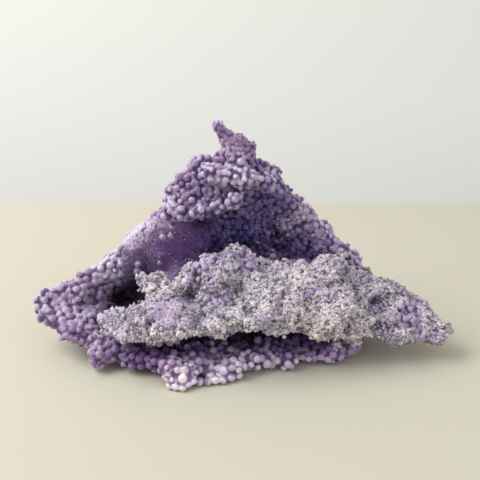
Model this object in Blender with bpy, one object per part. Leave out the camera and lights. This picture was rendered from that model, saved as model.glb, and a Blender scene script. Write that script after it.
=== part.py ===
"""A grape agate cluster: one stone, in which a deep bowl of grape-like balls, with a tall
pointed back wall, carries a thick leaning crust that reaches out over the bowl's lip.

Lengths below are in millimetres and are turned into metres where the meshes are made.
X runs along the cluster, from the wing to the crust's tip. Y runs from the lip to the
back. Z is up. The stone stands on the flat where it was broken off its bed rock.
"""

import math
import random

import bmesh
import bpy
from mathutils import Matrix, Vector, noise
from mathutils.kdtree import KDTree

MM = 0.001

# The bowl as slices across X. Each slice is a closed outline of (y, z) points, in this
# order: lip, shelf, floor, fold, hollow, ledge, brow, rim, nape, back, heel, sole, arch.
BOWL = [
    (-73, [(-18, 12), (-17, 14.5), (-16, 16), (-14.5, 17.5), (-13.5, 19), (-13, 20), (-12.5, 20.5),
           (-12, 20.5), (-11, 18), (-11, 15), (-12, 13), (-14, 11), (-16, 10.5)]),
    (-60, [(-24.5, 9), (-22, 12.5), (-17, 15), (-14, 17), (-12, 19), (-11, 20), (-10, 21.5),
           (-8, 22.5), (-5, 20), (-4, 15), (-7, 11), (-13, 8), (-19, 7)]),
    (-48, [(-30.5, 4.5), (-27, 8.5), (-20, 9.5), (-11, 9.5), (-5, 13.5), (-3.5, 18.5), (-2, 23.5),
           (-0.5, 28), (5, 25), (8, 15), (6, 6), (-5, 3), (-20, 2)]),
    (-36, [(-35, 4), (-30, 8), (-18, 7), (-2, 8), (4, 16), (4.5, 25), (3, 33),
           (4, 40.5), (10, 38), (15.5, 24), (16.5, 8), (6, 0), (-20, 1)]),
    (-29, [(-37, 3.5), (-31, 7), (-18, 7), (-1, 10), (6, 20), (5, 30), (2, 39),
           (3, 46.5), (9.5, 43), (16, 28), (19, 8), (9, -1.5), (-20, 0)]),
    (-24, [(-39.5, 2.5), (-32, 6.5), (-18, 6.5), (0, 10.5), (9, 24), (1, 41.5), (-4, 46.5),
           (0, 58), (8, 54), (17, 34), (21, 8), (12, -1.5), (-20, -1)]),
    (-12, [(-40.5, 0.5), (-33, 6), (-18, 6), (1, 10.5), (11, 27), (-1, 42), (-5, 51),
           (0, 66), (8, 62), (17, 38), (24, 8), (14, -1.5), (-22, -1.5)]),
    (0, [(-37, 2), (-30, 6), (-16, 6), (1, 10.5), (12, 27), (5, 44), (-3.5, 54.5),
         (1, 69), (9, 64), (18, 40), (25, 8), (15, -1.5), (-20, -1.5)]),
    (13, [(-32.5, 1.5), (-26, 5.5), (-14, 6.5), (2, 10.5), (10, 25), (8, 41), (1.5, 50),
          (4, 58), (11, 54), (18, 36), (24, 8), (14, -1.5), (-18, -1.5)]),
    (26, [(-30, 1.5), (-24, 6), (-12, 7.5), (1, 12), (6, 21), (4, 30), (3.5, 37),
          (5.5, 43.5), (11, 41), (17, 28), (21, 8), (12, -1.5), (-15, -1)]),
    (38, [(-28, 2.5), (-22, 6.5), (-10, 8.5), (0, 13), (2, 18), (2, 23), (1.5, 27),
          (3.5, 31), (9, 29), (13, 20), (15, 7), (8, 1), (-13, 2)]),
    (46, [(-17, 8), (-15, 10.5), (-9, 12), (-4, 14), (-2, 17), (-1, 20), (-0.5, 22),
          (1.5, 24.5), (6, 22), (8, 16), (7, 9), (0, 6), (-10, 6)]),
]

# The crust as slices across X: (x, crest (y, z), front edge (y, z), thickness).
CRUST = [
    (-46, (-28, 17.5), (-31, 15.5), 5),
    (-41, (-28, 17.5), (-33.5, 14.5), 6),
    (-36, (-27.5, 17.5), (-34, 14), 6.5),
    (-31.5, (-22, 20), (-34, 14), 7),
    (-29, (-14, 23), (-34, 14), 7.5),
    (-24, (-11.5, 24), (-34, 13.5), 8.5),
    (-14, (-9, 27.5), (-32.5, 15), 8.5),
    (-3, (-8, 32), (-31.5, 16.5), 9),
    (8, (-8, 30), (-30.5, 17), 9),
    (18, (-7.5, 27), (-31.5, 15), 9),
    (30, (-6, 26.5), (-30, 12.5), 9.5),
    (42, (-4, 24.5), (-27, 11), 9.5),
    (52, (-6.5, 19), (-24.5, 9), 8),
    (61, (-10.5, 15.5), (-22, 7), 7),
    (68, (-14.5, 12), (-20, 7), 5),
    (73, (-17, 10), (-18.5, 9), 2.5),
]
# Its crest and front edge are round: shares of the thickness by which the round end
# starts inside the named point and bulges past it.
EDGE_START = 0.2
EDGE_BULGE = 0.3
# Its large humps, and its hollows with a minus: (x, y, width, height).
CRUST_HUMPS = [
    (-24, -25.5, 6, 4.2), (-29, -14, 5, 3), (-7, -12.5, 8.5, 3.8), (20.5, -11.5, 7, 2.8),
    (12, -27, 6, 2.2), (33, -24, 7, 2.2), (-41, -29, 5, 1.8), (58, -17, 6, 1.6),
    (-16, -21.5, 4.5, -6.5), (0, -20.8, 4, -5), (46, -17, 5, -2.4),
    (8, -13, 4, -4), (26, -19, 4.5, -2.4),
]
CRUST_RELIEF = ((8, 2.8), (4, 1.6))  # its small relief: (width, depth)

# The rock that joins the crust to the bowl: centre and radii.
ROCK = ((5, 0, 15), (37, 13, 12))

# Knobs that stand out of the bowl: (x, y, z, radius).
HORN = [
    (-7.8, 0.2, 77.5, 0.9), (-7.3, 0.2, 76.4, 1.2), (-6.7, 0.3, 75, 1.5), (-5.6, 0.6, 73.2, 2.1),
    (-4, 1, 71, 3.1), (-2.2, 1.3, 68.3, 4.4), (-1, 2, 65.5, 5.8), (0.7, 2, 70.2, 1.8),
]
SKYLINE = [
    (-14, 2, 61.5, 3.4), (-11, 1.5, 64, 2.2), (-19.5, 2, 56.5, 3.2), (-23, 2, 52, 3),
    (7, 3, 60.5, 3.2), (11, 3.5, 57.5, 2.8), (15, 5, 51, 2.6), (23, 6, 44.5, 2.6), (46, -1, 23, 2.4),
]
BROW = [
    (-24, -3, 46.5, 2.8), (-19, -4.5, 46, 3), (-13, -5, 47, 3), (-7, -5.5, 48.5, 2.8),
    (-2, -4.5, 51.5, 2.8), (-10, -3, 61, 2.8), (-4, -3.5, 59.5, 3), (2, -3.5, 58.5, 3),
    (8, -1.5, 56.5, 2.8), (13, 0.5, 55, 2.6),
]
LIP = [(-19, -39.5, 2, 3), (-16.5, -38, 4.6, 2.8), (-21.5, -38, 4, 2.6), (-47, -29, 5.4, 2.8)]
NOSE = [(-33, -14.5, 25, 2.4), (-30.5, -15, 24.5, 3)]  # the crust's upper left corner

# Bunches of grapes on the bowl, and the crust's lumps: how far apart they stand, their
# smallest and largest radius, and the share of the radius that stands out of the skin.
GRAPES = (6.4, (3.2, 4.5), (0.55, 0.95))
SMALL_GRAPES = (4.4, (2.1, 2.9), (0.4, 0.75))
LUMPS = (7, (2.8, 4.2), (0.15, 0.45))
SMALL_LUMPS = (4.4, (1.7, 2.6), (0.15, 0.45))
SEED = 12

# The small grapes are on the head and its horn, on the wing's end and in the hollow under
# the brow, and the small lumps at the crust's two ends.
HEAD_FROM_Z = 38
WING_TO_X = -60
HOLLOW = ((-52, -30, 8), (-6, 13, 38))  # its low and high corner
CRUST_ENDS = (-34, 60)

CRUST_REACH = 1.6  # skin that is nearer than this to the crust is the crust's
SKIN_VOXEL = 1.1
FUSE_VOXEL = 0.75
TRIANGLES = 9700
GROUND_SIZE = (300, 300, 50)
STONE_COLOUR = (0.30, 0.21, 0.46, 1)


def add_object(name, mesh):
    obj = bpy.data.objects.new(name, mesh)
    bpy.context.scene.collection.objects.link(obj)
    return obj


def mesh_from(form, name):
    mesh = bpy.data.meshes.new(name)
    form.to_mesh(mesh)
    form.free()
    return mesh


def evaluated_mesh(obj):
    graph = bpy.context.evaluated_depsgraph_get()
    return bpy.data.meshes.new_from_object(obj.evaluated_get(graph))


def smooth_cage(name, rings, levels):
    """A closed tube through rings of points, capped at both ends and subdivided."""
    form = bmesh.new()
    loops = [[form.verts.new(Vector(p) * MM) for p in ring] for ring in rings]
    count = len(rings[0])
    for near, far in zip(loops, loops[1:]):
        for i in range(count):
            j = (i + 1) % count
            form.faces.new((near[i], near[j], far[j], far[i]))
    form.faces.new(reversed(loops[0]))
    form.faces.new(loops[-1])
    bmesh.ops.recalc_face_normals(form, faces=form.faces)
    cage = add_object(name, mesh_from(form, name))
    smoothing = cage.modifiers.new("Smooth", "SUBSURF")
    smoothing.levels = levels
    smoothing.render_levels = levels
    smooth = evaluated_mesh(cage)
    bpy.data.objects.remove(cage)
    return smooth


def make_bowl():
    return smooth_cage("bowl", [[(x, y, z) for y, z in ring] for x, ring in BOWL], levels=2)


def crust_ring(x, crest, front, thickness):
    """One slice of the crust: a plate with a round crest and a round front edge."""
    crest = Vector(crest)
    front = Vector(front)
    along = (crest - front).normalized()
    across = Vector((-along.y, along.x)) * (thickness / 2)
    start = along * (thickness * EDGE_START)
    bulge = along * (thickness * EDGE_BULGE)
    points = [
        crest - start - across, crest + bulge - across * 0.2, crest - start + across,
        front + start + across, front - bulge + across * 0.2, front + start - across,
    ]
    return [(x, p.x, p.y) for p in points]


def make_crust():
    mesh = smooth_cage("crust", [crust_ring(*slice_) for slice_ in CRUST], levels=3)
    for vert in mesh.vertices:
        place = vert.co / MM
        upward = min(max(vert.normal.z * 2, 0), 1)
        rise = sum(depth * noise.noise(place / width) for width, depth in CRUST_RELIEF)
        for x, y, width, height in CRUST_HUMPS:
            away = ((place.x - x) ** 2 + (place.y - y) ** 2) / width**2
            rise += upward * height * math.exp(-away)
        vert.co += vert.normal * rise * MM
    return mesh


def add_ball(form, centre, radius, detail=2):
    place = Matrix.Translation(Vector(centre) * MM)
    made = bmesh.ops.create_icosphere(form, subdivisions=detail, radius=radius * MM, matrix=place)
    return made["verts"]


def make_rock_and_knobs():
    form = bmesh.new()
    centre, radii = ROCK
    verts = add_ball(form, (0, 0, 0), 1, detail=4)
    bmesh.ops.scale(form, vec=Vector(radii), verts=verts)
    bmesh.ops.translate(form, vec=Vector(centre) * MM, verts=verts)
    for x, y, z, radius in HORN + SKYLINE + BROW + LIP + NOSE:
        add_ball(form, (x, y, z), radius, detail=3)
    return mesh_from(form, "rock")


def fused(meshes, voxel):
    """The one skin that wraps all the meshes."""
    form = bmesh.new()
    for mesh in meshes:
        form.from_mesh(mesh)
    obj = add_object("fused", mesh_from(form, "fused"))
    remesh = obj.modifiers.new("Fuse", "REMESH")
    remesh.mode = "VOXEL"
    remesh.voxel_size = voxel * MM
    skin = evaluated_mesh(obj)
    bpy.data.objects.remove(obj)
    return skin


def spread_points(mesh, spacing, dice):
    """Points with normals, spread over the mesh and no closer than the spacing."""
    mesh.calc_loop_triangles()
    triangles = mesh.loop_triangles
    corners = [[mesh.vertices[i].co for i in t.vertices] for t in triangles]
    areas = [t.area for t in triangles]
    cell = spacing * MM
    tries = int(6 * sum(areas) / cell**2)
    steps = [(i, j, k) for i in (-1, 0, 1) for j in (-1, 0, 1) for k in (-1, 0, 1)]
    taken = {}
    kept = []
    for pick in dice.choices(range(len(corners)), weights=areas, k=tries):
        a, b, c = corners[pick]
        u = dice.random()
        v = dice.random()
        if u + v > 1:
            u, v = 1 - u, 1 - v
        point = a + (b - a) * u + (c - a) * v
        key = [math.floor(n / cell) for n in point]
        boxes = [tuple(n + m for n, m in zip(key, step)) for step in steps]
        if any((other - point).length < cell for box in boxes for other in taken.get(box, ())):
            continue
        taken.setdefault(tuple(key), []).append(point)
        kept.append((point, triangles[pick].normal.copy()))
    return kept


def has_small_grapes(point):
    x, y, z = point / MM
    low, high = HOLLOW
    in_hollow = all(a < n < b for a, n, b in zip(low, (x, y, z), high))
    return z > HEAD_FROM_Z or x < WING_TO_X or in_hollow


def is_crust_end(point):
    left, right = CRUST_ENDS
    return not left < point.x / MM < right


def make_bunches(skin, crust):
    """Balls all over the skin: bunches of grapes on the bowl, lower lumps on the crust."""
    dice = random.Random(SEED)
    crust_points = KDTree(len(crust.vertices))
    for i, vert in enumerate(crust.vertices):
        crust_points.insert(vert.co, i)
    crust_points.balance()

    def on_crust(point):
        return crust_points.find(point)[2] < CRUST_REACH * MM

    kinds = (
        (GRAPES, lambda p: not on_crust(p) and not has_small_grapes(p)),
        (SMALL_GRAPES, lambda p: not on_crust(p) and has_small_grapes(p)),
        (LUMPS, lambda p: on_crust(p) and not is_crust_end(p)),
        (SMALL_LUMPS, lambda p: on_crust(p) and is_crust_end(p)),
    )
    form = bmesh.new()
    for (spacing, radii, stands_out), belongs in kinds:
        for point, normal in spread_points(skin, spacing, dice):
            if belongs(point):
                radius = dice.uniform(*radii)
                sunk = radius * (1 - dice.uniform(*stands_out))
                add_ball(form, point / MM - normal * sunk, radius)
    return mesh_from(form, "bunches")


def biggest_piece(mesh):
    """The mesh without the closed pockets and crumbs that fusing can leave."""
    form = bmesh.new()
    form.from_mesh(mesh)
    left = set(form.verts)
    pieces = []
    for seed in form.verts:
        if seed not in left:
            continue
        left.remove(seed)
        piece = [seed]
        for vert in piece:
            near = [e.other_vert(vert) for e in vert.link_edges]
            fresh = [other for other in near if other in left]
            left.difference_update(fresh)
            piece.extend(fresh)
        pieces.append(piece)
    pieces.sort(key=len)
    crumbs = [vert for piece in pieces[:-1] for vert in piece]
    bmesh.ops.delete(form, geom=crumbs, context="VERTS")
    return mesh_from(form, mesh.name)


def thinned_and_cut(mesh):
    """The mesh with fewer triangles, and with all that is below the ground taken off."""
    form = bmesh.new()
    size = Vector(GROUND_SIZE) * MM
    bmesh.ops.create_cube(form, size=1)
    bmesh.ops.scale(form, vec=size, verts=form.verts)
    bmesh.ops.translate(form, vec=(0, 0, -size.z / 2), verts=form.verts)
    ground = add_object("ground", mesh_from(form, "ground"))
    ground.hide_render = True
    ground.display_type = "WIRE"

    whole = add_object("whole", mesh)
    mesh.calc_loop_triangles()
    thin = whole.modifiers.new("Thin", "DECIMATE")
    thin.ratio = TRIANGLES / len(mesh.loop_triangles)
    thin.use_collapse_triangulate = True
    cut = whole.modifiers.new("Broken off", "BOOLEAN")
    cut.operation = "DIFFERENCE"
    cut.object = ground
    solid = evaluated_mesh(whole)
    bpy.data.objects.remove(whole)
    bpy.data.objects.remove(ground)
    return solid


def put_origin_under_middle(mesh):
    low = [min(v.co[i] for v in mesh.vertices) for i in range(3)]
    high = [max(v.co[i] for v in mesh.vertices) for i in range(3)]
    shift = Vector((-(low[0] + high[0]) / 2, -(low[1] + high[1]) / 2, -low[2]))
    mesh.transform(Matrix.Translation(shift))
    return shift


def stone_material():
    material = bpy.data.materials.new("grape_agate")
    material.use_nodes = True
    shader = material.node_tree.nodes["Principled BSDF"]
    shader.inputs["Base Color"].default_value = STONE_COLOUR
    shader.inputs["Roughness"].default_value = 0.45
    shader.inputs["Metallic"].default_value = 0
    material.diffuse_color = STONE_COLOUR
    return material


def make_stone():
    crust = make_crust()
    forms = [make_bowl(), crust, make_rock_and_knobs()]
    skin = fused(forms, SKIN_VOXEL)
    forms.append(make_bunches(skin, crust))
    whole = biggest_piece(fused(forms, FUSE_VOXEL))
    solid = thinned_and_cut(whole)
    solid.name = "grape_agate"
    shift = put_origin_under_middle(solid)
    solid.materials.clear()
    solid.materials.append(stone_material())
    add_object("grape_agate", solid)
    return shift


def main():
    for obj in list(bpy.data.objects):
        bpy.data.objects.remove(obj)
    return make_stone()


main()
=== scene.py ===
"""The looks of the grape agate cluster.

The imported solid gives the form. Its skin is covered with single balls, or grapes, whose
size and colour depend on where they sit: wing, lip, brow, hollow, back. The balls and the
stone under them are fused into a few pieces. The leaning crust gets small grains instead
of balls, and thousands of little quartz crystals stand on it.

Lengths are in millimetres, from the design's own origin, and are turned into the frame's
metres where a mesh is made.
"""

import math

import bmesh
import bpy
import numpy as np
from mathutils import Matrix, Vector, noise
from mathutils.bvhtree import BVHTree
from mathutils.kdtree import KDTree


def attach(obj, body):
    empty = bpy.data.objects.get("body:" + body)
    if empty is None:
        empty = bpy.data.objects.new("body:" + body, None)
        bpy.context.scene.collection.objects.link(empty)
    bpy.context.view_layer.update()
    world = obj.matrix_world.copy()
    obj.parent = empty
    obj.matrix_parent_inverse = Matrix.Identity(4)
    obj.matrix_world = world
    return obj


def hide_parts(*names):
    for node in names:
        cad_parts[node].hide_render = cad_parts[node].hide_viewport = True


MM = 0.001
MIDDLE = np.array((-0.34, 9.0, 0.0))  # from the frame's origin to the design's
SEED = 5

# The photograph's view.
CAMERA_DISTANCE = 270
CAMERA_PITCH = math.radians(22)
CAMERA_TARGET_HEIGHT = 35
CAMERA_LENS = 57.08
SENSOR_WIDTH = 36

# The studio. Each light has its place, its size and its power.
STUDIO_SIDE = 3000  # half the width of floor and wall
FLOOR_END = 140  # how far behind the design's origin the floor ends
WALL_AT = 420
FLOOR_COLOUR = (0.535, 0.51, 0.415)
WALL_COLOUR = (0.83, 0.82, 0.76)
LIGHTS_AIM = (0, -5, 25)
KEY = ((-560, -64, 624), 640, 7.4)
FILL = ((350, -350, 300), 500, 0.5)
SKY_COLOUR = (0.95, 0.97, 1.0, 1)
SKY_STRENGTH = 0.66

# The crust's plate as slices: x, crest y, crest z, front y, front z, thickness.
CRUST = np.array((
    (-46, -28, 17.5, -31, 15.5, 5),
    (-41, -28, 17.5, -33.5, 14.5, 6),
    (-36, -27.5, 17.5, -34, 14, 6.5),
    (-31.5, -22, 20, -34, 14, 7),
    (-29, -14, 23, -34, 14, 7.5),
    (-24, -11.5, 24, -34, 13.5, 8.5),
    (-14, -9, 27.5, -32.5, 15, 8.5),
    (-3, -8, 32, -31.5, 16.5, 9),
    (8, -8, 30, -30.5, 17, 9),
    (18, -7.5, 27, -31.5, 15, 9),
    (30, -6, 26.5, -30, 12.5, 9.5),
    (42, -4, 24.5, -27, 11, 9.5),
    (52, -6.5, 19, -24.5, 9, 8),
    (61, -10.5, 15.5, -22, 7, 7),
    (68, -14.5, 12, -20, 7, 5),
    (73, -17, 10, -18.5, 9, 2.5),
), float)
CRUST_RISE = 6.5  # how far its humps can stand above the plate
CRUST_DROP = 1  # how far its lumps can hang below the plate
CRUST_START = -50  # left of this X there is none of it
EDGE_REACH = 2.5  # how far its upper edges can stand out round the plate
NOSE = np.array((-32.5, -14.5, 25))  # its small spur over the hole at its left
NOSE_REACH = 4.5
UNDER_FACING = -0.25  # its lower faces hold grapes where their normal's Z is below this

# Zones of the skin, each with the smallest and largest radius of its grapes, how far apart
# they stand as a share of two radii, and how deep their centres lie as a share of a radius.
ZONES = {
    "back": (1.2, 1.8, 0.88, 0.45),
    "wing": (1.1, 1.6, 0.78, 0.45),
    "lip": (1.1, 1.65, 0.78, 0.45),
    "brow": (0.85, 1.45, 0.78, 0.4),
    "horn": (0.6, 0.95, 0.75, 0.5),
    "wall": (0.9, 1.45, 0.78, 0.45),
    "hollow": (0.5, 0.85, 0.78, 0.6),
    "under": (1.1, 1.6, 0.85, 0.5),
    "druse": (0.45, 0.95, 0.64, 0.6),  # the crust's grains
    "smooth_druse": (0.5, 0.9, 0.56, 0.75),
    "crust_grapes": (0.9, 1.35, 0.78, 0.3),
}
ZONE = {name: index for index, name in enumerate(ZONES)}
ZONE["standing"] = len(ZONES)  # the grapes with places of their own
# The boxes that zones fill, a later one over an earlier one: from where to where in X, Y and
# Z, and in the normal's Y and Z. The crust lies over them, and the wall is what is left.
ZONE_BOXES = {
    "wing": {"x": (-math.inf, -40)},
    "brow": {"z": (44.5, math.inf)},
    "horn": {"x": (-math.inf, 4), "z": (67, math.inf)},
    "lip": {"x": (-50, math.inf), "y": (-math.inf, -14), "z": (-math.inf, 14)},
    "hollow": {"x": (-42, -11), "y": (-4, math.inf), "z": (13, 42.5),
               "normal_y": (-math.inf, 0.1)},
    "back": {"y": (3, math.inf), "z": (-math.inf, 64), "normal_y": (0.25, math.inf)},
    "under": {"z": (-math.inf, 8), "normal_z": (-math.inf, -0.4)},
}

# The crust's lumps. Noise is given by widths, strengths and seeds.
NOISE_SHIFT = 7.3  # how far apart the noise of two seeds lies
CRUST_RELIEF = ((9, 3.4, 1), (4, 2.6, 1), (2, 1.2, 1))
SMOOTH_RELIEF = 0.7  # how much of it is missing where the crust is smooth
CRUST_SHRINK = 0.4  # how much all of the crust is taken in
TIP_SWELL = 1  # how much thicker the tip is
TIP_SWELL_X = (58, 66)  # where that starts, and from where it is full
# Where the crust is smooth: centre, reach.
SMOOTH_SPOTS = (((-26, -29, 21), 5.5), ((-22, -30, 22), 5.5))
# The pits between grapes and between grains: centre, reach, depth.
PITS = (
    ((13.8, 7.1, 34.1), 1.6, 3), ((15.7, 6.4, 28.5), 1.7, 3), ((11.7, 8, 30.2), 1.2, 2.5),
    ((2.9, 8.7, 29.9), 1.1, 2.5), ((1.8, 4, 40.3), 1, 2), ((-4.2, 1.7, 42.3), 1, 2),
    ((-1.8, 3.7, 41.6), 1, 2), ((10.5, 6.6, 38.6), 0.8, 2), ((22, 2.7, 40), 0.8, 2),
    ((-16.5, -19.4, 24), 2.6, 3.5), ((-3, -21.5, 28.3), 1.4, 3), ((-1, -20, 25.7), 1.6, 3),
    ((15.3, -1.4, 29), 1.6, 3), ((35.9, -30.6, 16.7), 1.3, 2.5), ((-19.7, -32, 20.8), 0.9, 2),
    ((-29, -33.1, 18.8), 1, 2), ((18.7, -28.5, 20), 1, 2), ((46.4, -15.3, 18.9), 1.1, 2),
    ((-43.5, -4, 13), 2.8, 3.5), ((-40, -2, 14), 2.8, 3.5), ((-36, -2, 15.5), 2.4, 3),
)
PIT_SHADE = 1.1  # how far a pit's shade reaches, as a share of its own reach
PIT_SHADE_DEPTHS = (0, 0.4, 0.8)  # where it is centred, as shares of the pit's depth
# The soft dents, which are humps where the depth is below zero: centre, reach, depth.
DENTS = (
    ((-30, 4, 48.5), 5, 2.2), ((-66, -20, 10), 9, 1.3), ((-20.5, -12.5, 29), 4.2, 3.5),
    ((-52, -30, 3), 5, 1.2), ((-8, -7, 46), 4.5, 2.2), ((-17, -6, 44.5), 4, 1.5),
    ((-33, -16, 28), 3.5, 2.8), ((-27, -14.5, 27), 3, -0.8),
)

# How the grapes stand on the skin.
CANDIDATES = 130000  # random places, of which the ones with room around them are kept
HOLLOW_CANDIDATES = 50000
GRID = 3.4  # for finding neighbours; no two grapes ask for a wider gap between centres
BALL_DETAIL = 2
SMALL_GRAPES = 1.3  # above 1, more grapes are small than large
CRUST_GRAPE_NOISE = ((3, 0.5, 4),)
CRUST_GRAPE_SPOT = 0.7  # how much a spot adds to that noise
CRUST_GRAPE_FROM = 0.42  # grapes grow on the crust where both together are above this
SMOOTH_FROM = 0.45  # the crust is smooth where a smooth spot is stronger than this
DRUSE_JITTER = 0.45  # how far the crust's grains and grapes stand in and out
ROW_JITTER = 0.6  # how far the grapes of a row stand off their line
ROW_RADII = (0.75, 1.15)  # how small and large they are, as shares of the row's radius
ROW_HEIGHT = 0.3  # how far out their centres stand, as a share of that radius
OWN_APART = 0.6  # how far apart grapes with their own places stand, as a share of two radii
OWN_ROOM = 0.85  # the room that they take from the others, as a share of a radius
PERCHED = 0.16  # the share of grapes that carry another one
PERCH_ZONES = ("wing", "lip", "brow", "wall")
PERCH_HEIGHT = 1.0  # how far out its centre stands, as a share of the lower one's radius
PERCH_LEAN = 0.7
PERCH_RADII = (0.7, 0.95)  # as shares of the lower one's radius
FLAT_FACING = -0.9  # the normals on the flat that the stone stands on have a Z below this
FLAT_GRAPES = 1.2  # grapes on the flat whose centre is lower than this are left out

# How much sky a grape sees: the number of rays, how far off the grape they start, and how
# long they are.
SKY_RAYS = 20
SKY_START = 0.8
SKY_REACH = 22

# The skin of the solid, and the stone that the grapes are fused with.
SKIN_VOXEL = 0.8
SKIN_SMOOTHING = 3
FUSE_VOXEL = 0.34
HOST_SINK = 0.8  # how far the stone between the grapes lies below the skin
HORN_SINK = 0.3
DRUSE_SINK = 0.6
FLAT_HEIGHT = 0.6  # the skin's flat lies lower than this
FUSED_FLAT_HEIGHT = 0.15
FUSED_FLAT_FACING = -0.8
CUT_TOLERANCE = 1e-7
# A point is part of a grape's head, from 0 to 1, by its height over the grape's centre and
# by its distance from there, both in radii.
# Low points of a grape get painted crevice shade from this.
FOOT_TO_HEAD = (-0.5, 0.8)
GAP_TO_SKIN = (1.5, 1.0)
# In the hollow every point counts as higher up, so its painted crevice shade is lighter.
HOLLOW_HEAD = (0.45, 0.55)  # in the hollow, what holds for all points and what that adds
# The fused pieces, cut from each other across X: name, from, to.
SLABS = (("wing_grapes", -90, -34), ("left_grapes", -34, -13), ("middle_grapes", -13, 8),
         ("right_grapes", 8, 32), ("tip_grapes", 32, 90))
SLAB_OVERLAP = 0.4
SLAB_TRIANGLES = 146000

# The grapes' colours. Each grape is violet, mixed with some of the others.
VIOLET = (0.245, 0.158, 0.28)
PALE = (0.56, 0.505, 0.575)
# Painted shade: a deep violet for recesses and hollows.
DEEP_SHADE = (0.08, 0.038, 0.165)
# A real blue tone, darkened with painted shade.
INDIGO_AND_SHADE = (0.088, 0.076, 0.24)
PURPLE = (0.24, 0.115, 0.33)
# Painted shade: near-black for holes, gaps and pits.
BLACK_SHADE = (0.012, 0.007, 0.02)
# How strongly they are mixed in: what holds for all, and what a grape's luck can add.
DEEP_SHADE_SHARE = (0.8, 0.4)
INDIGO_AND_SHADE_SHARE = (1.05, -0.4)
WHITE_SHARE = (0.6, 0.4)
CRUST_GRAPE_SHARE = (0.45, 0.45)
STANDING_SHARE = 0.35
PALE_NOISE = ((6, 0.45, 2),)
PALE_LUCK = 0.6
PALE_LOSS = 0.75  # how much of the pale is missing in the painted deep shade and the shaded blue
# Painted shade, mixed the same way, for grapes and grains that see little sky: where it
# starts and is full, and its strength.
DEEP_SHADE_BY_SKY = (0.7, 0.2, 0.8)
BLACK_SHADE_BY_SKY = (0.32, 0.08, 0.65)
GRAIN_SHADE_BY_SKY = (0.4, 0.1, 0.7)
# The painted sheen ring round each grape's head, also used for the random mottling: how much
# brighter it is, where on the way from 0 to 1 it lies, and how far from there it is full and
# ends.
SHEEN_AND_MOTTLE_LIFT = (1.45, 1.45, 1.4)
SHEEN_RING_AT = 0.84
SHEEN_RING_FADE = (0.04, 0.18)
DARK_TO_LIT = (0.02, 0.25)  # the brightness at which sheen and gloss start and are full
# The widths of the noise in the grapes' frost, gloss and relief, and the relief's height.
FROST_GRAIN = 0.8
GLOSS_GRAIN = 0.6
RELIEF_GRAIN = 0.5
RELIEF_HEIGHT = 0.1
# Painted shade between the grapes and between the grains: what is left of a colour there.
GRAPE_CREVICE_SHADE = (0.34, 0.2, 0.5)
GRAIN_CREVICE_SHADE = (0.32, 0.27, 0.35)
# Where grapes are white, pale, in deep painted shade, blue with painted shade, purple, or in
# near-black painted shade: centre, reach, strength.
WHITE_SPOTS = (((-19, -42, 2), 6, 1.3), ((-8, -39.5, 1.5), 4, 0.9), ((1, -37, 1.5), 4, 0.8))
PALE_SPOTS = (
    ((-64, -15, 18), 14, 0.5), ((-48, 1, 27), 10, 1.0), ((-38, 4, 38), 11, 1.05),
    ((-26, 0, 48), 7, 0.7), ((-20, -6, 47), 6, 0.5), ((-8, -8, 49), 5, 0.5),
    ((-12, -3, 60), 7, 0.7), ((0, -5, 60), 6, 1.1), ((12, 1, 57), 6, 0.8),
    ((-5, 1, 73), 8, 0.05), ((28, 6, 42), 11, 1.0), ((21, 4, 50), 7, 0.6),
    ((44, 1, 26), 8, 0.7), ((10, -31, 5), 8, 0.9), ((30, -29, 4), 8, 0.45),
    ((-2, -31, 5), 7, 0.9), ((-19, -42, 2), 6, 1.1), ((-7, -38, 2), 7, 0.9),
    ((6, -34, 3), 6, 0.8), ((-52, -29, 6), 7, 0.15), ((-33, 5, 31), 8, 1.1),
    ((20, -31, 3), 5, 0.5),
)
# Painted deep shade in recesses, under the ledge and under the crust.
DEEP_SHADE_SPOTS = (
    ((-10, 10, 26), 9, 0.7), ((-14, 1, 43.5), 5, 1.0), ((-30, -8, 10), 12, 0.9),
    ((16, 5, 28), 11, 0.35), ((-5, -20, 8), 11, 0.7), ((20, -15, 8), 9, 0.4),
    ((-22, -27, 6), 8, 0.8), ((-33, -28, 6), 7, 0.8), ((-34, 2, 23), 6, 0.7),
    ((-24, -6, 27), 6, 1.0), ((-38, -16, 10), 9, 0.9), ((-30, 6, 22), 7, 0.5),
)
# The blue tone with painted shade, under the brow and on the right wall.
BLUE_AND_SHADE_SPOTS = (
    ((-3, 6, 41), 12, 1.0), ((9, 3, 48), 11, 1.0), ((-13, -3, 55.5), 5, 0.8),
    ((22, 5, 34), 10, 0.5), ((3, 6, 34), 9, 1.0), ((-12, 2, 43), 7, 1.0),
)
PURPLE_SPOTS = (
    ((-26, 4, 31), 10, 0.8), ((-36, 3, 27), 8, 0.6), ((-16, 4, 36), 7, 0.4),
    ((-28, -26, 5), 8, 0.4), ((30, -26, 5), 8, 0.5),
)
# Painted near-black shade in the hole, in the gap under the crust and under the ledge.
BLACK_SHADE_SPOTS = (
    ((-43, -2, 12.5), 7, 1.2), ((-38, -1, 14.5), 7, 1.2), ((-14, 2, 43), 5.5, 1),
    ((-6, 3, 45), 4, 0.6), ((-35, -1, 19.5), 5.5, 0.9), ((-33, -26, 8), 5, 0.8),
    ((-22, -6, 26), 5, 0.85), ((-46, -5, 12), 5, 0.8), ((-25, -22, 8), 6, 1),
    ((-15, -20, 8), 5.5, 1), ((-5, -19, 8), 5.5, 1), ((5, -18, 8), 5, 0.9),
    ((15, -18, 7), 4.5, 0.8), ((25, -18, 7), 4, 0.6),
)

# The crust's colours, among them the painted shade of its grains.
GRAIN_WHITE = (0.73, 0.65, 0.685)
GRAIN_GREY = (0.33, 0.305, 0.325)
GRAIN_LAVENDER = (0.41, 0.32, 0.465)
GRAIN_BLUE = (0.20, 0.19, 0.31)
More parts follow.
